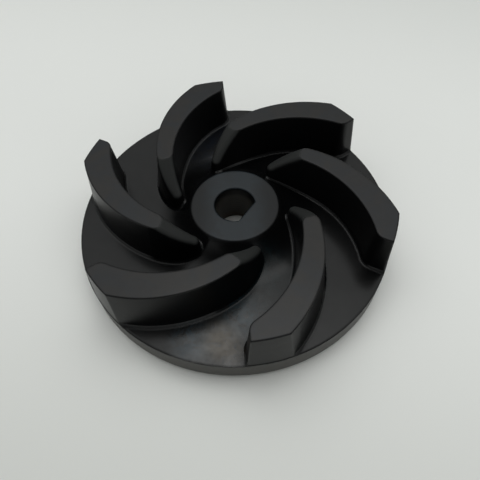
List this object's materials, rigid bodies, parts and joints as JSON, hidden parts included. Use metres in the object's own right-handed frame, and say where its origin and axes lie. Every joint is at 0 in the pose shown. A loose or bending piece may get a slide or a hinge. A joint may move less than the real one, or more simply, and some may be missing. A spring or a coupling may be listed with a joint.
{
  "type": "pump impeller",
  "caption": "Semi-open pump impeller: a thick disc that rises to a hub, with curved, backswept vanes and a shaft bore with one flat.",
  "frame": {"origin": "on the axis, in the plane of the back face of the hub boss, on which the part stands", "axes": "+Z along the axis, from the back of the disc towards the vanes; +X to the right and +Y away in the view of the picture"},
  "size_m": [0.1508, 0.1508, 0.0364],
  "materials": {
    "black_plastic": "satin black, as moulded"
  },
  "bodies": {
    "root": {"pump_impeller": "black_plastic"}
  },
  "joints": []
}
